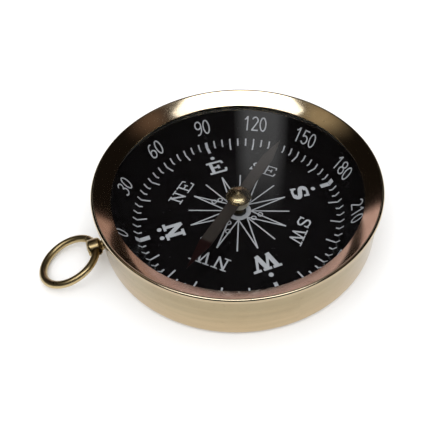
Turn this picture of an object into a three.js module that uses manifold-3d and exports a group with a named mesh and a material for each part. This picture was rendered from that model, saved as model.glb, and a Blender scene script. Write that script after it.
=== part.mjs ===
// Small open-face brass compass: a pressed brass case with a press-fitted bezel and flat glass,
// a dished black dial, a steel needle turning on a fixed pin, and a wire bail ring on a cross-drilled stud.
// Millimetres, +Z up out of the dial. The origin is on the compass axis, at the underside of the case.
// +Y points at the bail stud, which stands beside the dial's north.
import * as THREE from 'three';
import { mergeVertices } from 'three/addons/utils/BufferGeometryUtils.js';
import Module from 'manifold-3d';

// ---- Driving dimensions -------------------------------------------------------------------------
const ROUND_SIDES = 72;          // facets round the large turned pieces
const SMALL_SIDES = 24;          // facets round the small turned pieces
const FIT = 0.02;                // gap between pieces that are pressed or laid together

const CASE_RADIUS = 24.5;
const CASE_WALL = 0.5;
const FLOOR = 0.4;
const CORNER = 1.0;              // outer radius of the rounded bottom edge
const WALL_TOP = 9.2;

const RIM_RADIUS = 25.0;
const RIM_HEIGHT = 10.0;         // height of the whole case
const CREST_RADIUS = 24.85;
const LIP_RADIUS = 21.98;        // inner edge of the bezel's funnel
const LIP_TOP = 8.03;
const LIP_BOTTOM = 7.45;
const SKIRT_RADIUS = CASE_RADIUS - CASE_WALL - FIT;
const SKIRT_WALL = 0.5;
const SKIRT_BOTTOM = 6.5;

const GLASS_THICKNESS = 1.0;
const GLASS_RADIUS = SKIRT_RADIUS - SKIRT_WALL - 0.1;

const DIAL_SHEET = 0.3;
const DIAL_FACE = 0.72;          // height of the flat middle's printed face
const CREASE_RADIUS = 18.5;      // where the flat middle turns up into the cone
const CONE_TOP_RADIUS = 22.87;
const CONE_TOP = 6.25;
const DIAL_FLANGE_RADIUS = 23.7;
const DIAL_HOLE = 1.05;

const PIN_RADIUS = 0.28;
const PIN_TIP = 4.96;
const PIN_CONE = 0.75;           // length of the ground point
const POST_RADIUS = 0.95;
const POST_TOP_RADIUS = 0.6;
const POST_TOP = 3.0;
const POST_BORE = PIN_RADIUS + 0.04;
const POST_BORE_FLOOR = 1.5;
const WASHER_RADIUS = 1.32;
const WASHER_THICKNESS = 0.2;

const BLADE_HEIGHT = 4.25;       // underside of the needle's blade
const BLADE_THICKNESS = 0.28;
const BLADE_WIDTH = 2.2;
const BLADE_HALF_LENGTH = 17.4;
const BLADE_SHOULDER = 11.7;     // distance from the axis at which the taper begins
const BLADE_HOLE = 0.95;
const COLLAR_RADIUS = 1.9;
const COLLAR_HEIGHT = 1.75;
const CAP_RADIUS = 2.32;
const CAP_STEP = 0.25;
const CAP_DOME_RADIUS = 2.22;
const CAP_DOME_TOP = 5.82;
const CAP_NUB_RADIUS = 0.6;
const CAP_TOP = 6.1;
const JEWEL_RADIUS = 0.8;
const JEWEL_TOP = 5.27;
const JEWEL_CUP_APEX = 5.02;
const JEWEL_CUP_RADIUS = 0.5;

const DIAL_TURN = -1.5;          // the dial's north from +Y, in degrees anticlockwise from above
const NEEDLE_BEARING = 139.2;    // dial bearing of the needle's plain steel end at rest

const STUD_RADIUS = 1.5;
const STUD_NECK = 0.85;
const STUD_SHANK = 0.7;
const STUD_ROLL = 8.3;           // the stud is riveted this far off level, in degrees about +Y
const STUD_GAP = 0.08;
const HOLE_CENTRE = 25.9;        // distance of the cross hole from the compass axis
const HOLE_HEIGHT = 3.2;
const HOLE_THROAT = 0.72;
const HOLE_MOUTH = 1.02;         // the cross hole is bell-mouthed to pass the curved wire

const WIRE_RADIUS = 0.625;
const WIRE_SIDES = 12;
const BAIL_RADIUS = 4.7;         // of the wire's centre line
const BAIL_DROOP = 14.5;         // the ring slopes down to the table at rest, in degrees
const BAIL_SPLIT_AT = 146;       // place of the butt joint round the ring, in degrees from its far side
const BAIL_SPLIT = 0.15;         // width of the butt joint

const wasm = await Module();
wasm.setup();

// ---- Materials ----------------------------------------------------------------------------------
const metal = (color, roughness) => new THREE.MeshStandardMaterial({ color, roughness, metalness: 1 });
const plain = (color, roughness) => new THREE.MeshStandardMaterial({ color, roughness, metalness: 0 });
const BRASS = metal(0xc9b27c, 0.22);
const ROSE_BRASS = metal(0xc7a184, 0.18);
const GOLDEN_BRASS = metal(0xc2a04e, 0.2);
const STEEL = metal(0x6d6660, 0.4);
const NICKEL = metal(0xb9b4a8, 0.25);
const BLACK_LACQUER = plain(0x141212, 0.35);
const BLACK_FIBRE = plain(0x101010, 0.7);
const RUBBER = plain(0x2b2b2b, 0.8);
const AGATE = plain(0x8a3b2c, 0.15);
const GLASS = new THREE.MeshStandardMaterial({
  color: 0xe8f0f2, roughness: 0.03, metalness: 0, transparent: true, opacity: 0.3,
});

// ---- Helpers ------------------------------------------------------------------------------------
const radians = THREE.MathUtils.degToRad;

// A closed outline of [radius, height] pairs turned about +Z.
function turned(outline, sides = ROUND_SIDES) {
  const points = [...outline, outline[0]].map(([r, z]) => new THREE.Vector2(r, z));
  const onAxis = outline[0][0] === 0;
  const geometry = new THREE.LatheGeometry(onAxis ? points.slice(0, -1) : points, sides);
  geometry.rotateX(Math.PI / 2);
  return geometry;
}

// Points of an arc about [cx, cy], between two angles in degrees.
function arc(cx, cy, radius, from, to, steps) {
  const point = (i) => {
    const a = radians(from + ((to - from) * i) / steps);
    return [cx + radius * Math.cos(a), cy + radius * Math.sin(a)];
  };
  return Array.from({ length: steps + 1 }, (_, i) => point(i));
}

function solid(geometry) {
  const bare = geometry.clone();
  bare.deleteAttribute('normal');
  bare.deleteAttribute('uv');
  const merged = mergeVertices(bare, 1e-5);
  const vertProperties = new Float32Array(merged.attributes.position.array);
  const triVerts = new Uint32Array(merged.index.array);
  return new wasm.Manifold(new wasm.Mesh({ numProp: 3, vertProperties, triVerts }));
}

function cut(geometry, ...tools) {
  const result = tools.reduce((left, tool) => left.subtract(solid(tool)), solid(geometry)).getMesh();
  const out = new THREE.BufferGeometry();
  out.setAttribute('position', new THREE.BufferAttribute(new Float32Array(result.vertProperties), 3));
  out.setIndex(new THREE.BufferAttribute(new Uint32Array(result.triVerts), 1));
  out.computeVertexNormals();
  return out;
}

function part(name, geometry, material) {
  const mesh = new THREE.Mesh(geometry, material);
  mesh.name = name;
  return mesh;
}

// ---- Case, bezel and glass ----------------------------------------------------------------------
function caseCup() {
  const inner = CASE_RADIUS - CASE_WALL;
  const innerCorner = CORNER - CASE_WALL + 0.1;
  const outline = [
    [0, 0],
    ...arc(CASE_RADIUS - CORNER, CORNER, CORNER, -90, 0, 5),
    [CASE_RADIUS, WALL_TOP],
    [inner, WALL_TOP],
    ...arc(inner - innerCorner, FLOOR + innerCorner, innerCorner, 0, -90, 4),
    [0, FLOOR],
  ];
  const studHole = new THREE.CylinderGeometry(STUD_SHANK + 0.1, STUD_SHANK + 0.1, 4, SMALL_SIDES);
  studHole.translate(0, CASE_RADIUS, HOLE_HEIGHT);
  return part('case_cup', cut(turned(outline), studHole), BRASS);
}

function bezelRing() {
  const bandBottom = WALL_TOP + FIT;
  const outline = [
    [LIP_RADIUS, LIP_BOTTOM],
    [SKIRT_RADIUS - SKIRT_WALL, LIP_BOTTOM],
    [SKIRT_RADIUS - SKIRT_WALL, SKIRT_BOTTOM],
    [SKIRT_RADIUS, SKIRT_BOTTOM],
    [SKIRT_RADIUS, bandBottom],
    [RIM_RADIUS - 0.12, bandBottom],
    [RIM_RADIUS, bandBottom + 0.12],
    [RIM_RADIUS, RIM_HEIGHT - 0.3],
    [CREST_RADIUS, RIM_HEIGHT],
    [CREST_RADIUS - 0.25, RIM_HEIGHT - 0.02],
    [LIP_RADIUS + 0.12, LIP_TOP],
    [LIP_RADIUS, LIP_TOP - 0.12],
  ];
  return part('bezel_ring', turned(outline), ROSE_BRASS);
}

function glass() {
  const top = LIP_BOTTOM - FIT;
  const bottom = top - GLASS_THICKNESS;
  const chamfer = 0.15;
  const outline = [
    [0, bottom],
    [GLASS_RADIUS - chamfer, bottom],
    [GLASS_RADIUS, bottom + chamfer],
    [GLASS_RADIUS, top - chamfer],
    [GLASS_RADIUS - chamfer, top],
    [0, top],
  ];
  return part('glass', turned(outline), GLASS);
}

function glassGasket() {
  const top = LIP_BOTTOM - GLASS_THICKNESS - 2 * FIT;
  const bottom = CONE_TOP + FIT;
  const inner = CONE_TOP_RADIUS + 0.05;
  const outer = SKIRT_RADIUS - SKIRT_WALL - 0.1;
  return part('glass_gasket', turned([[inner, bottom], [outer, bottom], [outer, top], [inner, top]]), RUBBER);
}

// ---- Dial ---------------------------------------------------------------------------------------
// One sheet: a flat middle, a cone that rises to the glass, and a narrow flange under the gasket.
function dialDish() {
  const slope = Math.atan2(CONE_TOP - DIAL_FACE, CONE_TOP_RADIUS - CREASE_RADIUS);
  const shift = DIAL_SHEET * Math.tan(slope / 2);
  const outline = [
    [DIAL_HOLE, DIAL_FACE - DIAL_SHEET],
    [CREASE_RADIUS + shift, DIAL_FACE - DIAL_SHEET],
    [CONE_TOP_RADIUS + shift, CONE_TOP - DIAL_SHEET],
    [DIAL_FLANGE_RADIUS, CONE_TOP - DIAL_SHEET],
    [DIAL_FLANGE_RADIUS, CONE_TOP],
    [CONE_TOP_RADIUS, CONE_TOP],
    [CREASE_RADIUS, DIAL_FACE],
    [DIAL_HOLE, DIAL_FACE],
  ];
  return part('dial_dish', turned(outline), BLACK_LACQUER);
}

// ---- Pivot --------------------------------------------------------------------------------------
function pivotPost() {
  const base = FLOOR + FIT;
  const collarTop = DIAL_FACE + WASHER_THICKNESS + 0.1;
  const outline = [
    [0, base],
    [POST_RADIUS, base],
    [POST_RADIUS, collarTop],
    [POST_TOP_RADIUS + 0.1, POST_TOP - 0.15],
    [POST_TOP_RADIUS, POST_TOP],
    [POST_BORE, POST_TOP],
    [POST_BORE, POST_BORE_FLOOR],
    [0, POST_BORE_FLOOR],
  ];
  return part('pivot_post', turned(outline, SMALL_SIDES), BRASS);
}

function pivotWasher() {
  const bottom = DIAL_FACE + FIT;
  const top = bottom + WASHER_THICKNESS;
  const inner = POST_RADIUS + 0.04;
  const outline = [[inner, bottom], [WASHER_RADIUS, bottom], [WASHER_RADIUS, top], [inner, top]];
  return part('pivot_washer', turned(outline, SMALL_SIDES), BLACK_FIBRE);
}

function pivotPin() {
  const outline = [
    [0, POST_BORE_FLOOR + FIT],
    [PIN_RADIUS, POST_BORE_FLOOR + FIT],
    [PIN_RADIUS, PIN_TIP - PIN_CONE],
    [0.04, PIN_TIP - 0.03],
    [0, PIN_TIP],
  ];
  return part('pivot_pin', turned(outline, SMALL_SIDES), STEEL);
}

// ---- Needle -------------------------------------------------------------------------------------
function needleBlade() {
  const half = BLADE_WIDTH / 2;
  const outline = new THREE.Shape();
  outline.moveTo(BLADE_HALF_LENGTH, 0);
  outline.lineTo(BLADE_SHOULDER, half);
  outline.lineTo(-BLADE_SHOULDER, half);
  outline.lineTo(-BLADE_HALF_LENGTH, 0);
  outline.lineTo(-BLADE_SHOULDER, -half);
  outline.lineTo(BLADE_SHOULDER, -half);
  outline.closePath();
  outline.holes.push(new THREE.Path().absarc(0, 0, BLADE_HOLE - 0.05, 0, 2 * Math.PI, true));
  const options = { depth: BLADE_THICKNESS, bevelEnabled: false, curveSegments: SMALL_SIDES / 2 };
  const geometry = new THREE.ExtrudeGeometry(outline, options);
  geometry.translate(0, 0, BLADE_HEIGHT);
  return part('needle_blade', geometry, STEEL);
}

function needleCollar() {
  const top = BLADE_HEIGHT - FIT;
  const bottom = top - COLLAR_HEIGHT;
  const outline = [
    [BLADE_HOLE, bottom],
    [COLLAR_RADIUS - 0.5, bottom],
    [COLLAR_RADIUS - 0.12, bottom + 0.3],
    [COLLAR_RADIUS, bottom + 0.6],
    [COLLAR_RADIUS, top],
    [BLADE_HOLE, top],
  ];
  return part('needle_collar', turned(outline, SMALL_SIDES), NICKEL);
}

function needleCap() {
  const bottom = BLADE_HEIGHT + BLADE_THICKNESS + FIT;
  const domeBase = bottom + CAP_STEP;
  const domeRise = CAP_DOME_TOP - domeBase;
  const dome = arc(0, 0, 1, 0, 70, 6).map(([c, s]) => [c * CAP_DOME_RADIUS, domeBase + s * domeRise]);
  const cavity = JEWEL_RADIUS + 0.05;
  const outline = [
    [0, JEWEL_TOP + FIT],
    [cavity, JEWEL_TOP + FIT],
    [cavity, bottom],
    [CAP_RADIUS - 0.08, bottom],
    [CAP_RADIUS, bottom + 0.08],
    [CAP_RADIUS, domeBase - 0.05],
    [CAP_RADIUS - 0.05, domeBase],
    ...dome,
    [CAP_NUB_RADIUS, CAP_DOME_TOP],
    [CAP_NUB_RADIUS - 0.15, CAP_TOP - 0.05],
    [0, CAP_TOP],
  ];
  return part('needle_cap', turned(outline, SMALL_SIDES), GOLDEN_BRASS);
}

function capJewel() {
  const bottom = BLADE_HEIGHT + BLADE_THICKNESS + 0.1;
  const outline = [
    [0, JEWEL_CUP_APEX],
    [JEWEL_CUP_RADIUS, bottom],
    [JEWEL_RADIUS, bottom],
    [JEWEL_RADIUS, JEWEL_TOP - 0.1],
    [JEWEL_RADIUS - 0.1, JEWEL_TOP],
    [0, JEWEL_TOP],
  ];
  return part('cap_jewel', turned(outline, SMALL_SIDES), AGATE);
}

function needle() {
  const group = new THREE.Group();
  group.add(needleBlade(), needleCollar(), needleCap(), capJewel());
  group.rotation.z = radians(90 + DIAL_TURN - NEEDLE_BEARING);
  return group;
}

// ---- Bail ---------------------------------------------------------------------------------------
// Turned about its own +Y, which points away from the case, with the cross hole's centre at the origin.
function bailStud() {
  const wall = CASE_RADIUS + STUD_GAP - HOLE_CENTRE;
  const shankEnd = wall - CASE_WALL - 0.75;
  const profile = [
    [0, shankEnd],
    [STUD_SHANK, shankEnd],
    [STUD_SHANK, wall],
    [STUD_NECK, wall],
    [STUD_NECK, wall + 0.25],
    [STUD_RADIUS - 0.2, wall + 0.45],
    [STUD_RADIUS, wall + 0.75],
    [STUD_RADIUS, 0.7],
    ...arc(STUD_RADIUS - 0.6, 0.7, 0.6, 18, 90, 4),
    [0, 1.38],
  ];
  const body = new THREE.LatheGeometry(profile.map(([r, y]) => new THREE.Vector2(r, y)), SMALL_SIDES);
  const reach = STUD_RADIUS + 0.2;
  const bore = [
    [0, -reach],
    [HOLE_MOUTH, -reach],
    [HOLE_MOUTH - 0.1, 0.3 - reach],
    [HOLE_THROAT, -0.5],
    [HOLE_THROAT, 0.5],
    [HOLE_MOUTH - 0.1, reach - 0.3],
    [HOLE_MOUTH, reach],
    [0, reach],
  ];
  const hole = new THREE.LatheGeometry(bore.map(([r, y]) => new THREE.Vector2(r, y)), SMALL_SIDES);
  hole.rotateZ(-Math.PI / 2);
  return part('bail_stud', cut(body, hole), GOLDEN_BRASS);
}

function studWasher() {
  const outer = CASE_RADIUS - CASE_WALL - 0.12 - HOLE_CENTRE;
  const inner = outer - 0.4;
  const profile = [
    [STUD_SHANK + 0.06, inner],
    [STUD_RADIUS, inner],
    [STUD_RADIUS, outer],
    [STUD_SHANK + 0.06, outer],
    [STUD_SHANK + 0.06, inner],
  ];
  const geometry = new THREE.LatheGeometry(profile.map(([r, y]) => new THREE.Vector2(r, y)), SMALL_SIDES);
  return part('stud_washer', geometry, BRASS);
}

// The ring's wire: round the loop from one side of the butt joint to the other.
class BailPath extends THREE.Curve {
  getPoint(t) {
    const gap = BAIL_SPLIT / BAIL_RADIUS;
    const a = radians(90 - BAIL_SPLIT_AT) + gap / 2 + t * (2 * Math.PI - gap);
    return new THREE.Vector3(BAIL_RADIUS * Math.cos(a), BAIL_RADIUS * (1 + Math.sin(a)), 0);
  }
}

function bailRing() {
  const section = new THREE.Shape();
  arc(0, 0, WIRE_RADIUS, 0, 360 - 360 / WIRE_SIDES, WIRE_SIDES - 1).forEach(([x, y], i) => {
    if (i === 0) section.moveTo(x, y);
    else section.lineTo(x, y);
  });
  section.closePath();
  const options = { steps: ROUND_SIDES, extrudePath: new BailPath(), bevelEnabled: false };
  return part('bail_ring', new THREE.ExtrudeGeometry(section, options), GOLDEN_BRASS);
}

function bail() {
  const group = new THREE.Group();
  const ring = bailRing();
  ring.rotation.x = radians(-BAIL_DROOP);
  group.add(bailStud(), studWasher(), ring);
  group.position.set(0, HOLE_CENTRE, HOLE_HEIGHT);
  group.rotation.y = radians(STUD_ROLL);
  return group;
}

// ---- Assembly -----------------------------------------------------------------------------------
const compass = new THREE.Group();
compass.add(caseCup(), bezelRing(), glass(), glassGasket());
compass.add(dialDish(), pivotPost(), pivotWasher(), pivotPin());
compass.add(needle(), bail());

export default compass;
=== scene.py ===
import math

import bmesh
import bpy
from mathutils import Matrix, Vector


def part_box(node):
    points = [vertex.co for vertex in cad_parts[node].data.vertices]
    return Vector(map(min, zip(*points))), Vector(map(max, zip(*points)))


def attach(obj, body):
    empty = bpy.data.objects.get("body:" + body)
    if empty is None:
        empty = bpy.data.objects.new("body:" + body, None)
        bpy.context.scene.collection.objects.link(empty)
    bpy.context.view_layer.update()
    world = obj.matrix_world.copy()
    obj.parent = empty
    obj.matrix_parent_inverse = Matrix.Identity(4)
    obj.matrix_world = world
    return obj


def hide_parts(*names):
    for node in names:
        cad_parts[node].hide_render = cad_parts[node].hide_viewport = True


# A small open-face brass compass. Outlines and places below are in millimetres and degrees, and become
# metres in mm() and finish_piece(). The light and the cards stand at distances in metres. Azimuths are
# anticlockwise from +X seen from above, dial bearings are clockwise from the dial's north.

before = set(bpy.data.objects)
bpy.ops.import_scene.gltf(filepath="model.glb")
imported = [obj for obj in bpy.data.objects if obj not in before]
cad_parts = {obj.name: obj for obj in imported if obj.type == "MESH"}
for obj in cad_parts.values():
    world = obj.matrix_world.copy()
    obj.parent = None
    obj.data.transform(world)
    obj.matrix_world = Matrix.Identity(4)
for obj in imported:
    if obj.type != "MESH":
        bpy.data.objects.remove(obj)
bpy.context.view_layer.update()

MM = 0.001
TURNS = 288                      # facets round the large turned pieces


def mm(value):
    return value * MM


def top_of(node):
    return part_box(node)[1].z / MM


def bottom_of(node):
    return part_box(node)[0].z / MM


def radius_of(node):
    low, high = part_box(node)
    return (high.x - low.x) / 2 / MM


# ---- Sizes ------------------------------------------------------------------------------------------
RIM_RADIUS = radius_of("bezel_ring")
RIM_TOP = top_of("bezel_ring")
SKIRT_BOTTOM = bottom_of("bezel_ring")
CASE_RADIUS = radius_of("case_cup")
CASE_TOP = top_of("case_cup")
CASE_WALL = 0.5
FLOOR = 0.4
GLASS_TOP = top_of("glass")
GLASS_BOTTOM = bottom_of("glass")
GLASS_RADIUS = radius_of("glass")
BOTH_FACES = 1.8                 # a pane's two faces mirror this many times as much as one
LIP_RADIUS = 21.98               # the bezel's funnel ends in this circle
LIP_TOP = GLASS_TOP + 0.6
LIP_ROUND = 0.1
CREST_WIDTH = 0.36               # the crest's quarter ellipse
CREST_DROP = 0.42
FUNNEL_SLOPE = 38.4
FUNNEL_SWELL = 0.03

DIAL_FACE = 0.72                 # the printed face of the flat middle
DIAL_RIM_TOP = top_of("dial_dish")
DIAL_RADIUS = radius_of("dial_dish")
CREASE_RADIUS = 18.5
CONE_TOP_RADIUS = 22.87
DIAL_SHEET = 0.3
CONE_SLOPE = math.atan2(DIAL_RIM_TOP - DIAL_FACE, CONE_TOP_RADIUS - CREASE_RADIUS)
NORTH_AZIMUTH = 88.5             # the dial's north is 1.5 degrees off the stud
PRINT_LIFT = 0.02

BLADE_BOTTOM = bottom_of("needle_blade")
BLADE_TOP = top_of("needle_blade")
BLADE_LENGTH = 17.4              # from the pin to either point
BLADE_SHOULDER = 11.7
BLADE_WIDTH = 2.2
NEEDLE_BEARING = 139.2           # of the plain steel end
CAP_GROOVES = (16, 28)           # fine grooves turned in the dome, in degrees up it
RED_FROM = 11.1                  # the other end is painted from here to its point

STUD_AT = Vector((0, 25.9, 3.2))
STUD_ROLL = 8.3
WIRE_RADIUS = 0.625
BAIL_RADIUS = 4.7
BAIL_DROOP = 14.5
BAIL_SPLIT_AT = 146
BAIL_SPLIT = 0.15


# ---- Meshes -----------------------------------------------------------------------------------------
def finish_piece(name, mesh, material, body, replaces=None, sharp=35):
    """Makes a piece of a mesh in millimetres, smooth but for edges that turn more than sharp degrees."""
    mesh.transform(Matrix.Scale(MM, 4))
    mesh.materials.append(material)
    mesh.shade_smooth()
    mesh.set_sharp_from_angle(angle=math.radians(sharp))
    piece = bpy.data.objects.new(name, mesh)
    bpy.context.scene.collection.objects.link(piece)
    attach(piece, body)
    if replaces:
        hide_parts(replaces)


def mesh_from(bm, name):
    bmesh.ops.remove_doubles(bm, verts=bm.verts, dist=1e-6)
    bmesh.ops.recalc_face_normals(bm, faces=bm.faces)
    mesh = bpy.data.meshes.new(name)
    bm.to_mesh(mesh)
    bm.free()
    return mesh


def turned_bmesh(outline, turns=TURNS):
    """A closed outline of (radius, height) pairs turned about +Z. It may start and end on the axis."""
    bm = bmesh.new()
    rings = []
    for radius, height in outline:
        if radius < 1e-9:
            rings.append([bm.verts.new((0, 0, height))] * turns)
            continue
        angles = [2 * math.pi * i / turns for i in range(turns)]
        spots = [(radius * math.cos(a), radius * math.sin(a), height) for a in angles]
        rings.append([bm.verts.new(spot) for spot in spots])
    for inner, outer in zip(rings, rings[1:] + rings[:1]):
        for i in range(turns):
            corners = [inner[i], inner[(i + 1) % turns], outer[(i + 1) % turns], outer[i]]
            distinct = list(dict.fromkeys(corners))
            if len(distinct) > 2:
                bm.faces.new(distinct)
    return bm


def softened(outline, radius=0.06, steps=3):
    """The outline with each corner off the axis rounded, by at most the given radius."""
    result = []
    count = len(outline)
    for i, corner in enumerate(outline):
        here = Vector(corner)
        before = Vector(outline[i - 1]) - here
        after = Vector(outline[(i + 1) % count]) - here
        if here.x < 1e-9 or before.angle(after) > math.radians(165):
            result.append(tuple(here))
            continue
        reach = min(radius, before.length * 0.45, after.length * 0.45)
        start = here + before.normalized() * reach
        end = here + after.normalized() * reach
        for step in range(steps + 1):
            t = step / steps
            result.append(tuple(start.lerp(here, t).lerp(here.lerp(end, t), t)))
    return braced(result)


def braced(outline, margin=0.03):
    """The outline with a point just inside each end of its long runs, so that flats are shaded flat."""
    result = []
    for start, end in zip(outline, outline[1:] + outline[:1]):
        result.append(start)
        first, last = Vector(start), Vector(end)
        length = (last - first).length
        if length > 8 * margin:
            share = margin / length
            result += [tuple(first.lerp(last, share)), tuple(first.lerp(last, 1 - share))]
    return result


def arc(centre_x, centre_y, radius, start, end, steps):
    angles = [math.radians(start + (end - start) * i / steps) for i in range(steps + 1)]
    return [(centre_x + radius * math.cos(a), centre_y + radius * math.sin(a)) for a in angles]


def turned_piece(name, outline, material, body, replaces, turns=TURNS, soft=0.06):
    mesh = mesh_from(turned_bmesh(softened(outline, soft), turns), name)
    finish_piece(name, mesh, material, body, replaces)


# ---- Material nodes ---------------------------------------------------------------------------------
class Recipe:
    """A material with one Principled shader, and short calls for the nodes that feed it."""

    def __init__(self, name, **values):
        self.material = bpy.data.materials.new(name)
        self.material.use_nodes = True
        self.tree = self.material.node_tree
        self.shader = self.tree.nodes["Principled BSDF"]
        for socket, value in values.items():
            self.shader.inputs[socket.replace("_", " ")].default_value = value

    def node(self, kind, **inputs):
        made = self.tree.nodes.new(kind)
        for socket, value in inputs.items():
            self.feed(made.inputs[socket.replace("_", " ")], value)
        return made

    def feed(self, socket, value):
        if isinstance(value, bpy.types.NodeSocket):
            self.tree.links.new(value, socket)
        else:
            socket.default_value = value

    def sum(self, operation, *values):
        made = self.tree.nodes.new("ShaderNodeMath")
        made.operation = operation
        for socket, value in zip(made.inputs, values):
            self.feed(socket, value)
        return made.outputs[0]

    def place(self):
        return self.tree.nodes.new("ShaderNodeTexCoord").outputs["Object"]

    def polar(self, across, along, round_=1.0):
        """Object coordinates as (radius, height, angle), each times its own scale."""
        split = self.node("ShaderNodeSeparateXYZ", Vector=self.place())
        x, y, z = split.outputs
        squares = [self.sum("MULTIPLY", side, side) for side in (x, y)]
        radius = self.sum("SQRT", self.sum("ADD", *squares))
        angle = self.sum("ARCTAN2", y, x)
        scaled = [
            self.sum("MULTIPLY", radius, across),
            self.sum("MULTIPLY", z, along),
            self.sum("MULTIPLY", angle, round_),
        ]
        return self.node("ShaderNodeCombineXYZ", X=scaled[0], Y=scaled[1], Z=scaled[2]).outputs[0]

    def noise(self, scale, detail=3.0, where=None, roughness=0.55, distortion=0.0):
        made = self.node("ShaderNodeTexNoise", Scale=scale, Detail=detail, Roughness=roughness)
        made.inputs["Distortion"].default_value = distortion
        self.feed(made.inputs["Vector"], where or self.place())
        return made.outputs["Fac"]

    def ramp(self, value, low, high, to_low=0.0, to_high=1.0):
        made = self.node("ShaderNodeMapRange", Value=value)
        limits = {"From Min": low, "From Max": high, "To Min": to_low, "To Max": to_high}
        for socket, number in limits.items():
            made.inputs[socket].default_value = number
        return made.outputs["Result"]

    def blend(self, share, first, second):
        made = self.tree.nodes.new("ShaderNodeMix")
        made.data_type = "RGBA"
        self.feed(made.inputs[0], share)
        self.feed(made.inputs[6], first)
        self.feed(made.inputs[7], second)
        return made.outputs[2]

    def bump(self, height, strength, distance, normal=None):
        made = self.node("ShaderNodeBump", Height=height, Strength=strength, Distance=distance)
        if normal is not None:
            self.feed(made.inputs["Normal"], normal)
        return made.outputs[0]

    def drive(self, **inputs):
        for socket, value in inputs.items():
            self.feed(self.shader.inputs[socket.replace("_", " ")], value)
        return self.material


def brass(name, fresh, tarnished, shine, lathe_marks=0.02, dents=0.05, shade_beyond=None, foot=None):
    """Polished brass: fine turning marks, slow waves in the sheet, and a thin uneven tarnish.
    Beyond a given radius, in metres, the metal is darker, as painted shade. With a foot colour, the
    metal runs to that colour from the rim down to the table, in soft uneven rings, as painted light."""
    r = Recipe(name, Metallic=1.0)
    cloud = r.noise(170, 5, roughness=0.62, distortion=0.4)
    specks = r.ramp(r.noise(1500, 4, roughness=0.7), 0.6, 0.74)
    tarnish = r.ramp(cloud, 0.42, 0.72, 0.0, 0.55)
    colour = r.blend(tarnish, (*fresh, 1), (*tarnished, 1))
    colour = r.blend(r.sum("MULTIPLY", specks, 0.35), colour, (*[c * 0.45 for c in tarnished], 1))
    # Painted shade: past the given radius the colour is darkened.
    if shade_beyond:
        radius = r.node("ShaderNodeSeparateXYZ", Vector=r.polar(1.0, 1.0)).outputs[0]
        outside = r.ramp(radius, shade_beyond - mm(0.02), shade_beyond + mm(0.03), 0.0, 0.85)
        colour = r.blend(outside, colour, (0.40, 0.31, 0.19, 1))
    # Painted light: towards the table the colour runs lighter, in soft uneven rings.
    if foot:
        height = r.node("ShaderNodeSeparateXYZ", Vector=r.place()).outputs[2]
        rings = r.noise(1.0, 3, r.polar(0.0, 900, 1.4), 0.6)
        wander = r.sum("ADD", height, r.ramp(rings, 0.3, 0.7, -mm(1.1), mm(1.1)))
        colour = r.blend(r.ramp(wander, mm(7.0), mm(0.8)), colour, (*foot, 1))
    marks = r.noise(1.0, 4, r.polar(9000, 9000, 0.6), 0.7)
    clouded = r.ramp(cloud, 0.3, 0.8, shine, shine + 0.1)
    rough = r.sum("ADD", clouded, r.ramp(marks, 0.3, 0.7, -0.02, 0.03))
    rough = r.sum("MAXIMUM", r.sum("ADD", rough, r.sum("MULTIPLY", specks, 0.15)), 0.03)
    waves = r.bump(r.noise(95, 2), dents, mm(1.0))
    normal = r.bump(marks, lathe_marks, mm(0.05), waves)
    return r.drive(Base_Color=colour, Roughness=rough, Normal=normal)


def black_lacquer():
    r = Recipe("dial_black", Specular_IOR_Level=0.25)
    mottle = r.noise(420, 5, roughness=0.65)
    dust = r.ramp(r.noise(5200, 3, roughness=0.75), 0.69, 0.76)
    colour = r.blend(mottle, (0.0024, 0.0020, 0.0025, 1), (0.0052, 0.0043, 0.0052, 1))
    colour = r.blend(r.sum("MULTIPLY", dust, 0.10), colour, (0.35, 0.33, 0.32, 1))
    rough = r.ramp(mottle, 0.3, 0.7, 0.20, 0.28)
    normal = r.bump(r.noise(2600, 4), 0.05, mm(0.02))
    return r.drive(Base_Color=colour, Roughness=rough, Normal=normal)


def dial_ink():
    r = Recipe("dial_ink", Specular_IOR_Level=0.35)
    grain = r.noise(2400, 4, roughness=0.7)
    colour = r.blend(grain, (0.33, 0.33, 0.36, 1), (0.50, 0.50, 0.54, 1))
    worn = r.ramp(r.noise(5200, 2), 0.30, 0.40, 0.75, 1.0)
    colour = r.blend(worn, (0.22, 0.22, 0.24, 1), colour)
    rough = r.ramp(grain, 0.3, 0.7, 0.45, 0.62)
    return r.drive(Base_Color=colour, Roughness=rough, Normal=r.bump(grain, 0.25, mm(0.02)))


def glass_pane():
    """Thin window glass: it mirrors by Fresnel and lets the rest through unbent, with faint smears.
    Only the face that a ray enters by mirrors, and it stands for both faces of the pane."""
    r = Recipe("window_glass")
    tree = r.tree
    tree.nodes.remove(r.shader)
    smear = r.ramp(r.noise(120, 5, distortion=0.8, roughness=0.6), 0.52, 0.8, 0.0, 0.03)
    clear = r.node("ShaderNodeBsdfTransparent", Color=(0.975, 0.985, 0.98, 1))
    mirror = r.node("ShaderNodeBsdfGlossy", Color=(1, 1, 1, 1), Roughness=smear)
    entering = r.sum("SUBTRACT", 1.0, r.node("ShaderNodeNewGeometry").outputs["Backfacing"])
    share = r.sum("MULTIPLY", r.node("ShaderNodeFresnel", IOR=1.5).outputs[0], entering)
    pane = tree.nodes.new("ShaderNodeMixShader")
    tree.links.new(r.sum("MULTIPLY", share, BOTH_FACES), pane.inputs[0])
    tree.links.new(clear.outputs[0], pane.inputs[1])
    tree.links.new(mirror.outputs[0], pane.inputs[2])
    tree.links.new(pane.outputs[0], tree.nodes["Material Output"].inputs["Surface"])
    return r.material


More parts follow.
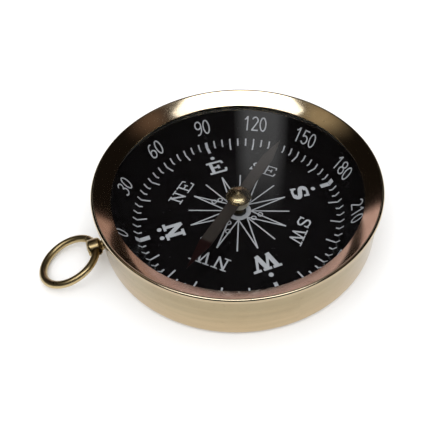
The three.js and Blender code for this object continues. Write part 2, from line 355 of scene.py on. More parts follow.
def needle_steel():
    """Browned spring steel with drawn lines along the blade and a dark red coat on one end."""
    r = Recipe("needle_steel_and_paint", Specular_IOR_Level=0.2)
    azimuth = math.radians(NORTH_AZIMUTH - NEEDLE_BEARING)
    turn = r.node("ShaderNodeVectorRotate", Vector=r.place(), Angle=-azimuth)
    split = r.node("ShaderNodeSeparateXYZ", Vector=turn.outputs[0])
    along, across, height = split.outputs
    coarse = r.sum("MULTIPLY", along, 300)
    fine = r.sum("MULTIPLY", across, 9000)
    drawn = r.node("ShaderNodeCombineXYZ", X=coarse, Y=fine, Z=height)
    lines = r.noise(1.0, 4, drawn.outputs[0], 0.65)
    cloud = r.noise(260, 4, roughness=0.6)
    edge = r.sum("ADD", along, r.ramp(r.noise(900, 3), 0.0, 1.0, -mm(0.35), mm(0.35)))
    painted = r.ramp(edge, -mm(RED_FROM + 0.3), -mm(RED_FROM - 0.3), 1.0, 0.0)
    steel = r.blend(cloud, (0.036, 0.028, 0.025, 1), (0.058, 0.047, 0.042, 1))
    steel = r.blend(r.ramp(lines, 0.35, 0.75, 0.0, 0.5), steel, (0.024, 0.02, 0.018, 1))
    red = r.blend(cloud, (0.007, 0.0012, 0.0012, 1), (0.014, 0.0018, 0.0018, 1))
    metal = r.sum("MULTIPLY", r.sum("SUBTRACT", 1.0, painted), 0.35)
    rough = r.sum("ADD", r.ramp(lines, 0.3, 0.7, 0.32, 0.46), r.sum("MULTIPLY", painted, 0.04))
    normal = r.bump(lines, 0.15, mm(0.02))
    colour = r.blend(painted, steel, red)
    return r.drive(Base_Color=colour, Metallic=metal, Roughness=rough, Normal=normal)


def simple_grained(name, colour, other, rough, metallic=0.0, scale=900, bump=0.15):
    r = Recipe(name, Metallic=metallic)
    grain = r.noise(scale, 5, roughness=0.65)
    mixed = r.blend(grain, (*colour, 1), (*other, 1))
    shine = r.ramp(grain, 0.3, 0.7, rough - 0.05, rough + 0.07)
    return r.drive(Base_Color=mixed, Roughness=shine, Normal=r.bump(grain, bump, mm(0.02)))


# Painted light: the case wall runs to this lighter colour towards the table.
PAINTED_TABLE_LIGHT = (0.56, 0.43, 0.262)
PAINTED_SHADE_FROM = 24.93              # beyond this radius the bezel's outer band is darker, as painted shade

CASE_BRASS = brass(
    "spun_brass", (0.375, 0.303, 0.184), (0.327, 0.246, 0.134), 0.12, 0.03, 0.03, foot=PAINTED_TABLE_LIGHT
)
# The bezel's outer band is darkened as painted shade.
BEZEL_BRASS = brass(
    "rose_brass", (0.88, 0.765, 0.56), (0.74, 0.55, 0.38), 0.07, 0.02, 0.015, shade_beyond=mm(PAINTED_SHADE_FROM)
)
FITTING_BRASS = brass("golden_brass", (0.52, 0.41, 0.22), (0.35, 0.26, 0.12), 0.26, 0.02, 0.10)
CAP_BRASS = brass("cap_brass", (0.84, 0.68, 0.42), (0.60, 0.43, 0.24), 0.2, 0.10, 0.04)
NICKEL = simple_grained("worn_nickel", (0.92, 0.86, 0.72), (0.74, 0.66, 0.50), 0.38, 0.8, 1400)
AGATE = simple_grained("agate", (0.36, 0.10, 0.06), (0.55, 0.26, 0.16), 0.12, 0.0, 700, 0.02)
RUBBER = simple_grained("gasket_rubber", (0.03, 0.03, 0.03), (0.06, 0.06, 0.06), 0.75)
# Painted shade: the post's brass is darkened, standing in for the shadow in the gap under the collar.
POST_PAINTED_SHADE = simple_grained("post_brass_painted_shade", (0.10, 0.075, 0.04), (0.05, 0.035, 0.02), 0.45, 0.8)
FIBRE = simple_grained("washer_fibre", (0.015, 0.014, 0.013), (0.05, 0.045, 0.04), 0.8)
PIN_STEEL = simple_grained("pin_steel", (0.45, 0.45, 0.47), (0.33, 0.33, 0.35), 0.2, 1.0)
LACQUER = black_lacquer()
INK = dial_ink()
GLASS = glass_pane()
NEEDLE = needle_steel()


# ---- Case, bezel and glass --------------------------------------------------------------------------
def make_case():
    inner = CASE_RADIUS - CASE_WALL
    outline = [
        (0, 0.0),
        *arc(CASE_RADIUS - 1.0, 1.0, 1.0, -90, 0, 12),
        (CASE_RADIUS, CASE_TOP),
        (inner, CASE_TOP),
        *arc(inner - 0.6, FLOOR + 0.6, 0.6, 0, -90, 6),
        (0, FLOOR),
    ]
    turned_piece("case_shell", outline, CASE_BRASS, "case", "case_cup")


def make_bezel():
    """The rolled rim: a nearly straight funnel, a rounded crest and a narrow band outside."""
    crest_x, crest_y = RIM_RADIUS - CREST_WIDTH, RIM_TOP - CREST_DROP
    slope = math.radians(FUNNEL_SLOPE)
    reach = math.degrees(math.atan2(CREST_DROP * math.cos(slope), -CREST_WIDTH * math.sin(slope)))
    upper = [
        (crest_x + CREST_WIDTH * x, crest_y + CREST_DROP * y) for x, y in arc(0, 0, 1, 0, reach, 18)
    ]
    tilt = 90 + FUNNEL_SLOPE
    lower = arc(LIP_RADIUS + LIP_ROUND, LIP_TOP - LIP_ROUND, LIP_ROUND, tilt, 215, 12)
    first, last = Vector(upper[-1]), Vector(lower[0])
    middle = []
    for i in range(1, 12):
        t = i / 12
        bulge = FUNNEL_SWELL * 4 * t * (1 - t)
        point = first.lerp(last, t)
        middle.append((point.x - bulge * math.sin(slope), point.y + bulge * math.cos(slope)))
    band_bottom = CASE_TOP + 0.02
    skirt_outer = CASE_RADIUS - CASE_WALL - 0.02
    skirt_inner = skirt_outer - 0.5
    outline = [
        (LIP_RADIUS + 0.5, GLASS_TOP + 0.02),
        (skirt_inner, GLASS_TOP + 0.02),
        (skirt_inner, SKIRT_BOTTOM),
        (skirt_outer, SKIRT_BOTTOM),
        (skirt_outer, band_bottom),
        (RIM_RADIUS - 0.14, band_bottom),
        (RIM_RADIUS, band_bottom + 0.12),
        *upper,
        *middle,
        *lower,
    ]
    turned_piece("bezel", outline, BEZEL_BRASS, "case", "bezel_ring", soft=0.04)


def make_glass():
    lower = [(0, GLASS_BOTTOM), (GLASS_RADIUS, GLASS_BOTTOM)]
    outline = [*lower, (GLASS_RADIUS, GLASS_TOP), (0, GLASS_TOP)]
    turned_piece("crystal", outline, GLASS, "case", "glass", soft=0.12)


# ---- Dial and its print -----------------------------------------------------------------------------
def make_dial():
    shift = DIAL_SHEET * math.tan(CONE_SLOPE / 2)
    hole = 1.05
    outline = [
        (hole, DIAL_FACE - DIAL_SHEET),
        (CREASE_RADIUS + shift, DIAL_FACE - DIAL_SHEET),
        (CONE_TOP_RADIUS + shift, DIAL_RIM_TOP - DIAL_SHEET),
        (DIAL_RADIUS, DIAL_RIM_TOP - DIAL_SHEET),
        (DIAL_RADIUS, DIAL_RIM_TOP),
        (CONE_TOP_RADIUS, DIAL_RIM_TOP),
        (CREASE_RADIUS, DIAL_FACE),
        (hole, DIAL_FACE),
    ]
    turned_piece("dial", outline, LACQUER, "case", "dial_dish", turns=360, soft=0.15)


def on_dial(bearing, reach, lift=PRINT_LIFT):
    """A point of the printed face: reach is measured along the sheet, flat and then up the cone."""
    up_cone = max(reach - CREASE_RADIUS, 0)
    radius = min(reach, CREASE_RADIUS) + up_cone * math.cos(CONE_SLOPE)
    height = DIAL_FACE + lift + up_cone * math.sin(CONE_SLOPE)
    if up_cone:
        radius -= lift * math.sin(CONE_SLOPE)
        height -= lift * (1 - math.cos(CONE_SLOPE))
    azimuth = math.radians(NORTH_AZIMUTH - bearing)
    return (radius * math.cos(azimuth), radius * math.sin(azimuth), height)


class Print:
    """Ink laid on the dial as thin ribbons. Each ribbon follows a path of (across, reach) points."""

    def __init__(self, name):
        self.name = name
        self.bm = bmesh.new()
        self.layer = 0

    def ribbon(self, path, width, bearing=0.0, radial=False):
        """Lays a ribbon. Across is millimetres to the right of the bearing for someone looking outwards.
        Ribbons that cross lie one above the other by a few thousandths, as coats of ink do."""
        self.layer = (self.layer + 1) % 9
        path = refined([Vector(p) for p in path], 0.35)
        edges = []
        for i, point in enumerate(path):
            before = (point - path[max(i - 1, 0)]).normalized()
            after = (path[min(i + 1, len(path) - 1)] - point).normalized()
            along = (before + after).normalized()
            side = Vector((-along.y, along.x))
            stretch = 1 / max(0.5, side.dot(Vector((-after.y, after.x))) if after.length else 1)
            edges.append((point + side * width / 2 * stretch, point - side * width / 2 * stretch))
        pairs = [[self.bm.verts.new(self.lay(p, bearing, radial)) for p in pair] for pair in edges]
        for (a, b), (c, d) in zip(pairs, pairs[1:]):
            self.bm.faces.new((a, b, d, c))

    def lay(self, point, bearing, radial):
        lift = PRINT_LIFT + 0.004 * self.layer
        if radial:
            return on_dial(bearing + point.x, point.y, lift)
        if point.y > CREASE_RADIUS + 0.5:
            radius = CREASE_RADIUS + (point.y - CREASE_RADIUS) * math.cos(CONE_SLOPE)
            return on_dial(bearing + math.degrees(point.x / radius), point.y, lift)
        reach = math.hypot(point.x, point.y)
        return on_dial(bearing + math.degrees(math.atan2(point.x, point.y)), reach, lift)

    def dot(self, across, reach, size, bearing):
        centre = Vector((across, reach))
        ring = [centre + Vector(p) for p in arc(0, 0, size, 0, 360 - 15, 23)]
        self.bm.faces.new([self.bm.verts.new(self.lay(p, bearing, False)) for p in ring])

    def done(self):
        mesh = bpy.data.meshes.new(self.name)
        for face in self.bm.faces:
            if face.normal.z < 0:
                face.normal_flip()
        self.bm.to_mesh(mesh)
        self.bm.free()
        finish_piece(self.name, mesh, INK, "case")


def refined(path, step):
    """The path with points added so that none are further apart than step."""
    result = [path[0]]
    for start, end in zip(path, path[1:]):
        pieces = max(1, math.ceil((end - start).length / step))
        result += [start.lerp(end, (i + 1) / pieces) for i in range(pieces)]
    return result


def bow(x, y, rx, ry, start, end, steps=14):
    angles = [math.radians(start + (end - start) * i / steps) for i in range(steps + 1)]
    return [(x + rx * math.cos(a), y + ry * math.sin(a)) for a in angles]


# Each digit is a list of strokes in a box one high and half as wide.
DIGITS = {
    "0": [bow(0.25, 0.5, 0.20, 0.45, 90, 450, 28)],
    "1": [[(0.08, 0.76), (0.18, 0.83), (0.27, 0.97)], [(0.28, 1.0), (0.28, 0.0)]],
    "2": [bow(0.25, 0.735, 0.19, 0.215, 165, -25) + [(0.05, 0.05)], [(0.02, 0.05), (0.48, 0.05)]],
    "3": [bow(0.24, 0.74, 0.18, 0.21, 155, -90), bow(0.24, 0.285, 0.21, 0.235, 90, -155)],
    "4": [[(0.36, 0.98), (0.04, 0.29), (0.5, 0.29)], [(0.37, 1.0), (0.37, 0.0)]],
    "5": [[(0.45, 0.95), (0.12, 0.95), (0.07, 0.5)], bow(0.24, 0.325, 0.21, 0.275, 140, -150)],
    "6": [bow(0.25, 0.30, 0.20, 0.25, 90, 450, 24), bow(0.29, 0.47, 0.245, 0.48, 70, 195)],
    "7": [[(0.03, 0.95), (0.47, 0.95), (0.3, 0.6), (0.19, 0.0)]],
    "8": [bow(0.25, 0.74, 0.175, 0.21, 90, 450, 24), bow(0.25, 0.285, 0.2, 0.235, 90, 450, 24)],
    "9": [bow(0.25, 0.70, 0.20, 0.25, 90, 450, 24), bow(0.21, 0.53, 0.245, 0.48, -110, 15)],
}

# Each letter is its width and its strokes, in a box one high: main strokes, hair strokes and serifs.
LETTERS = {
    "N": (1.10, [
        ("main", [(0.24, 0), (0.24, 1)]), ("main", [(0.86, 0), (0.86, 1)]),
        ("wide", [(0.20, 0.97), (0.88, 0.03)]), ("serif", [(0.0, 1), (0.42, 1)]),
        ("serif", [(0.02, 0), (0.48, 0)]), ("serif", [(0.64, 1), (1.10, 1)]),
    ]),
    "E": (1.06, [
        ("main", [(0.24, 0), (0.24, 1)]),
        ("serif", [(0.0, 0), (0.98, 0)]), ("serif", [(0.0, 1), (0.92, 1)]),
        ("hair", [(0.24, 0.51), (0.66, 0.51)]), ("hair", [(0.64, 0.36), (0.64, 0.66)]),
        ("hair", [(0.90, 0.99), (0.94, 0.72)]), ("hair", [(0.96, 0.01), (1.02, 0.32)]),
    ]),
    "S": (0.92, [
        ("wide", bow(0.44, 0.73, 0.28, 0.19, 100, 235) + bow(0.48, 0.27, 0.30, 0.19, 55, -80)),
        ("hair", bow(0.44, 0.73, 0.34, 0.19, 20, 105)), ("hair", bow(0.48, 0.27, 0.36, 0.19, 200, 285)),
        ("hair", [(0.80, 0.96), (0.76, 0.62)]), ("hair", [(0.08, 0.04), (0.12, 0.38)]),
    ]),
    "W": (1.50, [
        ("wide", [(0.22, 0.97), (0.46, 0.02)]), ("hair", [(0.46, 0.04), (0.74, 0.97)]),
        ("wide", [(0.74, 0.97), (1.04, 0.02)]), ("hair", [(1.04, 0.04), (1.28, 0.97)]),
        ("serif", [(0.0, 1), (0.46, 1)]), ("serif", [(0.54, 1), (0.98, 1)]),
        ("serif", [(1.08, 1), (1.50, 1)]),
    ]),
}
BOLD = {"height": 3.4, "main": 0.66, "wide": 0.82, "hair": 0.46, "serif": 0.5}
LIGHT = {"height": 2.55, "main": 0.30, "wide": 0.34, "hair": 0.25, "serif": 0.22}
LETTER_BASE = 10.65              # distance of a letter's foot from the axis
LETTER_GAP = 0.35
ROSE_TIP = 9.25
ROSE_LINE = 0.24
DISC_INNER = 1.35
DISC_OUTER = 2.25
DISC_MIDDLE = 1.8
LOOP_SIZE = 0.42
LOOP_LINE = 0.2
# Small rings in four of the rose's points: distance from the axis and degrees off the point's bearing.
ROSE_LOOPS = {
    45: ((5.15, 2.3), (4.43, 13.6)),
    135: ((4.05, -9.5), (3.3, 9.0)),
    225: ((4.01, -10.6), (3.23, 8.8)),
    315: ((5.17, -2.2), (3.40, 8.6)),
}
TICK_FOOT = 17.85
LONG_TICK_FOOT = 16.72
TICK_RISE = 1.1                  # how far each tick climbs the cone
TICK_WIDTH = 0.3
BAR_WIDTHS = {0: 0.9, 90: 0.55, 180: 0.9, 270: 0.65}
NUMERAL_FOOT = 21.3              # along the sheet from the axis
NUMERAL_HEIGHT = 2.98
NUMERAL_STROKE = 0.27
NUMERAL_ADVANCE = 0.56           # from digit to digit, and the offset that centres them, in heights
NUMERAL_OFFSET = 0.03
DOT_SIZE = 0.42
NORTH_DOTS = (1.0, 14.75)        # two dots, each this far to a side, and this far from the axis
SINGLE_DOT = 15.1                # the other main points have one, this far from the axis


def print_numerals():
    ink = Print("dial_numerals")
    advance = NUMERAL_ADVANCE * NUMERAL_HEIGHT
    for degrees in range(0, 360, 30):
        word = str(degrees)
        for place, digit in enumerate(word):
            left = (place - len(word) / 2) * advance + NUMERAL_OFFSET * NUMERAL_HEIGHT
            for path in DIGITS[digit]:
                scaled = [
                    (left + x * NUMERAL_HEIGHT, NUMERAL_FOOT + y * NUMERAL_HEIGHT) for x, y in path
                ]
                ink.ribbon(scaled, NUMERAL_STROKE, degrees)
    ink.done()


def print_ticks():
    ink = Print("dial_ticks")
    for bearing in range(0, 360, 5):
        foot = LONG_TICK_FOOT if bearing % 15 == 0 else TICK_FOOT
        width = BAR_WIDTHS.get(bearing, TICK_WIDTH)
        ink.ribbon([(0, foot), (0, CREASE_RADIUS), (0, CREASE_RADIUS + TICK_RISE)], width, bearing)
    ink.done()


def print_word(ink, word, bearing, weight):
    height = weight["height"]
    width = sum(LETTERS[c][0] * height for c in word) + LETTER_GAP * (len(word) - 1)
    left = -width / 2
    for letter in word:
        for kind, path in LETTERS[letter][1]:
            thick = weight[kind]
            low, high = thick / 2, height - thick / 2
            laid = [(left + x * height, LETTER_BASE + min(max(y * height, low), high)) for x, y in path]
            if kind in ("main", "wide") and letter != "S":
                laid = [(left + x * height, LETTER_BASE + y * height) for x, y in path]
            ink.ribbon(laid, thick, bearing)
        left += LETTERS[letter][0] * height + LETTER_GAP


def print_letters():
    ink = Print("dial_letters")
    for word, bearing in (("N", 0), ("E", 90), ("S", 180), ("W", 270)):
        print_word(ink, word, bearing, BOLD)
    for word, bearing in (("NE", 45), ("SE", 135), ("SW", 225), ("NW", 315)):
        print_word(ink, word, bearing, LIGHT)
    side, reach = NORTH_DOTS
    for across in (-side, side):
        ink.dot(across, reach, DOT_SIZE, 0)
    for bearing in (90, 180, 270):
        ink.dot(0, SINGLE_DOT, DOT_SIZE, bearing)
    ink.done()


def print_rose():
    """Sixteen rays from a ring: the eight main points are a V of two lines, the others a single line."""
    ink = Print("dial_rose")
    for bearing in range(0, 360, 5):
        path = [(bearing, DISC_MIDDLE), (bearing + 5.2, DISC_MIDDLE)]
        ink.ribbon(path, DISC_OUTER - DISC_INNER, 0, radial=True)
    for i in range(8):
        half_wind = 22.5 + 45 * i
        start = (0, DISC_OUTER - 0.1)
        ink.ribbon([start, (0, ROSE_TIP)], ROSE_LINE, half_wind)
        for side in (-22.5, 22.5):
            turn = math.radians(side)
            tip = (ROSE_TIP * math.sin(turn), ROSE_TIP * math.cos(turn))
            ink.ribbon([start, tip], ROSE_LINE, half_wind)
    for bearing, loops in ROSE_LOOPS.items():
        for reach, turn in loops:
            centre = (reach * math.sin(math.radians(turn)), reach * math.cos(math.radians(turn)))
            ink.ribbon(bow(*centre, LOOP_SIZE, LOOP_SIZE, 0, 360, 20), LOOP_LINE, bearing)
    ink.done()


# ---- Pivot and needle -------------------------------------------------------------------------------
def make_pivot():
    post_bottom = bottom_of("pivot_post")
    post_top = top_of("pivot_post")
    post = [
        (0, post_bottom), (0.95, post_bottom), (0.95, 1.02), (0.7, post_top - 0.15), (0.6, post_top),
        (0.32, post_top), (0.32, 1.5), (0, 1.5),
    ]
    # The post's dark colour is painted shade.
    turned_piece("post", post, POST_PAINTED_SHADE, "case", "pivot_post", 64, 0.05)
    low, high = bottom_of("pivot_washer"), top_of("pivot_washer")
    washer = [(0.99, low), (1.32, low), (1.32, high), (0.99, high)]
    turned_piece("dial_washer", washer, FIBRE, "case", "pivot_washer", 64, 0.04)
    low, high = bottom_of("pivot_pin"), top_of("pivot_pin")
    pin = [(0, low), (0.28, low), (0.28, high - 0.75), (0.04, high - 0.03), (0, high)]
    turned_piece("pin", pin, PIN_STEEL, "case", "pivot_pin", 48, 0.02)


def make_blade():
    """The blade is a flat strip with a hole for the cap, its edges eased and its points drawn out."""
    half = BLADE_WIDTH / 2
    points = [(BLADE_LENGTH, 0), (BLADE_SHOULDER, half), (-BLADE_SHOULDER, half), (-BLADE_LENGTH, 0)]
    points += [(-BLADE_SHOULDER, -half), (BLADE_SHOULDER, -half)]
    bm = bmesh.new()
    face = bm.faces.new([bm.verts.new((x, y, BLADE_BOTTOM)) for x, y in points])
    lifted = bmesh.ops.extrude_face_region(bm, geom=[face])["geom"]
    rise = Vector((0, 0, BLADE_TOP - BLADE_BOTTOM))
    bmesh.ops.translate(bm, vec=rise, verts=[v for v in lifted if isinstance(v, bmesh.types.BMVert)])
    bmesh.ops.bevel(bm, geom=bm.edges[:], offset=0.06, segments=2, affect="EDGES", clamp_overlap=True)
    bmesh.ops.rotate(
        bm, verts=bm.verts, matrix=Matrix.Rotation(math.radians(NORTH_AZIMUTH - NEEDLE_BEARING), 3, "Z")
    )
    mesh = mesh_from(bm, "blade")
    finish_piece("blade", mesh, NEEDLE, "needle", "needle_blade", 25)


def make_cap():
    """A bell-shaped brass cap over an agate cup, on a nickelled collar under the blade."""
    low, high = bottom_of("needle_cap"), top_of("needle_cap")
    brim = radius_of("needle_cap")
    dome_base = low + 0.22
    dome_top = high - 0.28
    dome = []
    for angle in range(4, 72, 4):
        turn = math.radians(angle)
        girth = (brim - 0.1) * (0.97 if angle in CAP_GROOVES else 1.0)
        dome.append((girth * math.cos(turn), dome_base + (dome_top - dome_base) * math.sin(turn)))
    roof = top_of("cap_jewel") + 0.02
    cap = [
        (0, roof), (0.85, roof), (0.85, low), (brim, low), (brim, low + 0.16), (brim - 0.07, low + 0.22),
        *dome, (0.66, dome_top - 0.02), (0.56, dome_top), (0.5, high - 0.07), (0.3, high),
        (0.16, high - 0.05), (0, high - 0.08),
    ]
    turned_piece("cap", cap, CAP_BRASS, "needle", "needle_cap", 128, 0.04)
    low, high = bottom_of("needle_collar"), top_of("needle_collar")
    widest = radius_of("needle_collar")
    collar = [
        (0.95, low), (1.42, low), (widest - 0.12, low + 0.35), (widest, low + 0.55),
        (widest, high - 0.82), (widest - 0.06, high - 0.72), (1.55, high - 0.5),
        (1.5, high - 0.4), (1.5, high), (0.95, high),
    ]
    turned_piece("collar", collar, NICKEL, "needle", "needle_collar", 128, 0.07)
    low, high = bottom_of("cap_jewel"), top_of("cap_jewel")
    jewel = [(0, 5.02), (0.5, low), (0.8, low), (0.8, high), (0, high)]
    turned_piece("jewel", jewel, AGATE, "needle", "cap_jewel", 64, 0.06)


# ---- Bail -------------------------------------------------------------------------------------------
def stud_frame():
    return Matrix.Translation(STUD_AT) @ Matrix.Rotation(math.radians(STUD_ROLL), 4, "Y")


def make_stud():
    """A turned stud along +Y with a bell-mouthed cross hole, cut by a turned tool."""
    wall = CASE_RADIUS + 0.08 - STUD_AT.y
    shank_end = wall - CASE_WALL - 0.75
    profile = [
        (0, shank_end), (0.7, shank_end), (0.7, wall), (0.95, wall),
        (0.85, wall + 0.12), (0.85, wall + 0.25),
        (1.3, wall + 0.45), (1.5, wall + 0.75), (1.5, 0.7), *arc(0.9, 0.7, 0.6, 15, 90, 8), (0, 1.38),
    ]
    bm = turned_bmesh(softened(profile, 0.12, 4), 72)
    bmesh.ops.rotate(bm, verts=bm.verts, matrix=Matrix.Rotation(-math.pi / 2, 3, "X"))
    body = mesh_from(bm, "stud_body")
    reach = 1.9
    bore = [(0, -reach), (1.05, -reach)]
    bore += [(0.72 + 0.33 * ((abs(i) - 3) / 12) ** 2 * (abs(i) > 3), i * 0.11) for i in range(-15, 16)]
    bore += [(1.05, reach), (0, reach)]
    bm = turned_bmesh(bore, 48)
    bmesh.ops.rotate(bm, verts=bm.verts, matrix=Matrix.Rotation(math.pi / 2, 3, "Y"))
    tool = bpy.data.objects.new("stud_tool", mesh_from(bm, "stud_tool"))
    blank = bpy.data.objects.new("stud_blank", body)
    for item in (tool, blank):
        bpy.context.scene.collection.objects.link(item)
    cut = blank.modifiers.new("bore", "BOOLEAN")
    cut.operation = "DIFFERENCE"
    cut.object = tool
    eased = blank.modifiers.new("eased", "BEVEL")
    eased.width = 0.05
    eased.segments = 2
    eased.angle_limit = math.radians(40)
    bpy.context.view_layer.update()
    mesh = bpy.data.meshes.new_from_object(blank.evaluated_get(bpy.context.evaluated_depsgraph_get()))
    for item in (tool, blank):
        bpy.data.objects.remove(item)
    mesh.transform(stud_frame())
    finish_piece("stud", mesh, FITTING_BRASS, "case", "bail_stud")


def make_stud_washer():
    outer = CASE_RADIUS - CASE_WALL - 0.12 - STUD_AT.y
    inner = outer - 0.4
    bm = turned_bmesh(softened([(0.76, inner), (1.5, inner), (1.5, outer), (0.76, outer)], 0.05), 64)
    bmesh.ops.rotate(bm, verts=bm.verts, matrix=Matrix.Rotation(-math.pi / 2, 3, "X"))
    mesh = mesh_from(bm, "rivet_washer")
    mesh.transform(stud_frame())
    finish_piece("rivet_washer", mesh, FITTING_BRASS, "case", "stud_washer")


def make_ring():
    """The bail: drawn wire bent round to a butt joint, its cut ends slightly eased."""
    sides, steps = 32, 160
    gap = math.degrees(BAIL_SPLIT / BAIL_RADIUS)
    first = 90 - BAIL_SPLIT_AT + gap / 2
    bm = bmesh.new()
    rings = []
    for i in range(-2, steps + 3):
        share = min(max(i / steps, 0), 1)
        thin = 1 if 0 <= i <= steps else (0.9 if i in (-1, steps + 1) else 0.0)
        angle = math.radians(first + share * (360 - gap))
        centre = Vector((BAIL_RADIUS * math.cos(angle), BAIL_RADIUS * (1 + math.sin(angle)), 0))
        outwards = Vector((math.cos(angle), math.sin(angle), 0))
        if i in (0, steps):
            centre += Vector((-math.sin(angle), math.cos(angle), 0)) * (0.05 if i == 0 else -0.05)
        wire = WIRE_RADIUS * thin
        if thin == 0.0:
            rings.append([bm.verts.new(centre)] * sides)
            continue
        ring = []
        for j in range(sides):
            a = 2 * math.pi * j / sides
            spoke = math.cos(a) * outwards + math.sin(a) * Vector((0, 0, 1))
            ring.append(bm.verts.new(centre + wire * spoke))
        rings.append(ring)
    for one, two in zip(rings, rings[1:]):
        for j in range(sides):
            corners = [one[j], one[(j + 1) % sides], two[(j + 1) % sides], two[j]]
            distinct = list(dict.fromkeys(corners))
            if len(distinct) > 2:
                bm.faces.new(distinct)
    mesh = mesh_from(bm, "ring")
    mesh.transform(stud_frame() @ Matrix.Rotation(-math.radians(BAIL_DROOP), 4, "X"))
    finish_piece("ring", mesh, FITTING_BRASS, "bail", "bail_ring")


# ---- Camera, floor and light ------------------------------------------------------------------------
CAMERA_HEADING = 337.0           # azimuth of the view's direction
CAMERA_ELEVATION = 42.94
CAMERA_ROLL = -0.2
CAMERA_DISTANCE = 96.87          # from the plane through the rim's centre
CAMERA_SIDE = 2.341
CAMERA_RISE = 3.424
CAMERA_LENS = 47.6
CAMERA_SHIFT = (-0.0918, -0.1348)
CAMERA_NEAR = 5.0                # nothing nearer than this is drawn

TABLE_HALF = 2000
TABLE_DROP = 0.02                # a hair below the case, so that the two faces don't fight

DAYLIGHT = 1.23                  # strength of the white world
# The cards are seen only in reflections. Each row is a name, two turns, two elevations, a distance, a
# colour, a strength, and the share of the card's width over which its edges fade.
CARDS = (
    ("room", (-180, 180), (0.3, 61), 1.0, (1.0, 0.75, 0.6), 0.007, 0),
    ("ceiling", (-114, 116), (60, 80), 0.97, (0.11, 0.10, 0.09), 1.0, 0),
    ("zenith", (-180, 180), (79.8, 89.8), 0.97, (0.11, 0.10, 0.09), 1.0, 0),
    ("low_left", (0, 24), (4.0, 17), 0.95, (0.36, 0.23, 0.21), 1.0, 0.1),
    ("low_right", (-29, 2), (0.4, 16), 0.95, (0.52, 0.37, 0.38), 1.0, 0.08),
    ("bright_front", (-11, 10), (9.0, 25), 0.93, (0.72, 0.50, 0.52), 1.0, 0.3),
    ("olive_side", (-120, -64), (38, 66), 0.95, (0.30, 0.24, 0.16), 1.0, 0.4),
    ("brown_side", (66, 110), (40, 64), 0.95, (0.11, 0.07, 0.05), 1.0, 0.4),
    ("strip", (-2.4, 5.8), (22, 50), 0.8, (1, 1, 1), 0.5, 0.25),
)


def view_axes():
    heading, tilt = math.radians(CAMERA_HEADING), math.radians(CAMERA_ELEVATION)
    level = Vector((math.cos(heading), math.sin(heading), 0))
    forward = level * math.cos(tilt) - Vector((0, 0, math.sin(tilt)))
    right = level.cross(Vector((0, 0, 1)))
    return level, forward, right, right.cross(forward)


def make_camera():
    level, forward, right, up = view_axes()
    turn = math.radians(CAMERA_ROLL)
    rolled_right = right * math.cos(turn) + up * math.sin(turn)
    rolled_up = up * math.cos(turn) - right * math.sin(turn)
    place = Vector((0, 0, RIM_TOP)) - forward * CAMERA_DISTANCE
    place += rolled_right * CAMERA_SIDE + rolled_up * CAMERA_RISE
    camera = bpy.data.cameras.new("camera")
    camera.lens = CAMERA_LENS
    camera.shift_x, camera.shift_y = CAMERA_SHIFT
    camera.clip_start = mm(CAMERA_NEAR)
    holder = bpy.data.objects.new("camera", camera)
    axes = Matrix((rolled_right, rolled_up, -forward)).transposed().to_4x4()
    holder.matrix_world = Matrix.Translation(place * MM) @ axes
    bpy.context.scene.collection.objects.link(holder)
    bpy.context.scene.camera = holder


def make_floor():
    material = simple_grained("pale_floor", (0.93, 0.93, 0.93), (0.95, 0.95, 0.95), 0.6, 0.0, 40, 0.0)
    bm = bmesh.new()
    bmesh.ops.create_grid(bm, x_segments=8, y_segments=8, size=TABLE_HALF)
    mesh = bpy.data.meshes.new("floor")
    bm.to_mesh(mesh)
    bm.free()
    mesh.transform(Matrix.Scale(MM, 4))
    mesh.materials.append(material)
    floor = bpy.data.objects.new("floor", mesh)
    floor.location.z = -mm(TABLE_DROP)
    bpy.context.scene.collection.objects.link(floor)


def direction(turn, elevation):
    """A direction from the object: turn is degrees to the right of the camera's heading."""
    azimuth = math.radians(CAMERA_HEADING - turn)
    tilt = math.radians(elevation)
    level = math.cos(tilt)
    return Vector((math.cos(azimuth) * level, math.sin(azimuth) * level, math.sin(tilt)))


def area_light(name, turn, elevation, distance, width, depth, power):
    """A soft rectangle, its width across the view."""
    light = bpy.data.lights.new(name, "AREA")
    light.shape = "RECTANGLE"
    light.size = width
    light.size_y = depth
    light.energy = power
    holder = bpy.data.objects.new(name, light)
    way = direction(turn, elevation)
    across = direction(90, 0)
    axes = Matrix((across, way.cross(across), way)).transposed().to_4x4()
    holder.matrix_world = Matrix.Translation(way * distance) @ axes
    bpy.context.scene.collection.objects.link(holder)


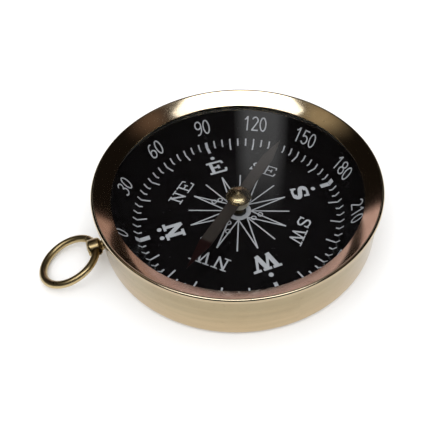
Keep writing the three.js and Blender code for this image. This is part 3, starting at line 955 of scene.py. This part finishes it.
def card(name, turns, elevations, distance, colour, strength, soft):
    """A curved card seen only in reflections, between two turns and two elevations, with soft edges."""
    columns, rows = 48, 12
    bm = bmesh.new()
    chart = bm.loops.layers.uv.new("card")
    grid = []
    for j in range(rows + 1):
        elevation = elevations[0] + (elevations[1] - elevations[0]) * j / rows
        row = []
        for i in range(columns + 1):
            turn = turns[0] + (turns[1] - turns[0]) * i / columns
            row.append((bm.verts.new(direction(turn, elevation) * distance), (i / columns, j / rows)))
        grid.append(row)
    for low, high in zip(grid, grid[1:]):
        for i in range(columns):
            corners = (low[i], low[i + 1], high[i + 1], high[i])
            face = bm.faces.new([corner[0] for corner in corners])
            for loop, corner in zip(face.loops, corners):
                loop[chart].uv = corner[1]
    mesh = bpy.data.meshes.new(name)
    bm.to_mesh(mesh)
    bm.free()
    mesh.materials.append(card_glow(name, colour, strength, soft))
    panel = bpy.data.objects.new(name, mesh)
    panel.visible_camera = False
    panel.visible_diffuse = False
    panel.visible_shadow = False
    bpy.context.scene.collection.objects.link(panel)


def card_glow(name, colour, strength, soft):
    r = Recipe(name)
    r.tree.nodes.remove(r.shader)
    chart = r.tree.nodes.new("ShaderNodeTexCoord").outputs["UV"]
    u, v, _ = r.node("ShaderNodeSeparateXYZ", Vector=chart).outputs
    cover = 1.0
    if soft:
        for side in (u, v):
            from_edge = r.sum("SUBTRACT", 0.5, r.sum("ABSOLUTE", r.sum("SUBTRACT", side, 0.5)))
            cover = r.sum("MULTIPLY", cover, r.ramp(from_edge, 0.0, soft))
    glow = r.node("ShaderNodeEmission", Color=(*colour, 1), Strength=strength)
    clear = r.node("ShaderNodeBsdfTransparent", Color=(1, 1, 1, 1))
    mixed = r.tree.nodes.new("ShaderNodeMixShader")
    r.feed(mixed.inputs[0], cover)
    r.tree.links.new(clear.outputs[0], mixed.inputs[1])
    r.tree.links.new(glow.outputs[0], mixed.inputs[2])
    r.tree.links.new(mixed.outputs[0], r.tree.nodes["Material Output"].inputs["Surface"])
    return r.material


def make_light():
    world = bpy.data.worlds.new("studio")
    bpy.context.scene.world = world
    world.use_nodes = True
    background = world.node_tree.nodes["Background"]
    background.inputs["Color"].default_value = (1.0, 1.0, 1.0, 1)
    background.inputs["Strength"].default_value = DAYLIGHT
    area_light("softbox", turn=180, elevation=69.5, distance=0.6, width=0.76, depth=0.21, power=0.98)
    for row in CARDS:
        card(*row)


def main():
    make_camera()
    make_floor()
    make_light()
    make_case()
    make_bezel()
    make_glass()
    make_dial()
    print_numerals()
    print_ticks()
    print_letters()
    print_rose()
    make_pivot()
    make_blade()
    make_cap()
    make_stud()
    make_stud_washer()
    make_ring()
    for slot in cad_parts["glass_gasket"].material_slots:
        slot.material = RUBBER
    bpy.context.scene.view_settings.view_transform = "Standard"


main()
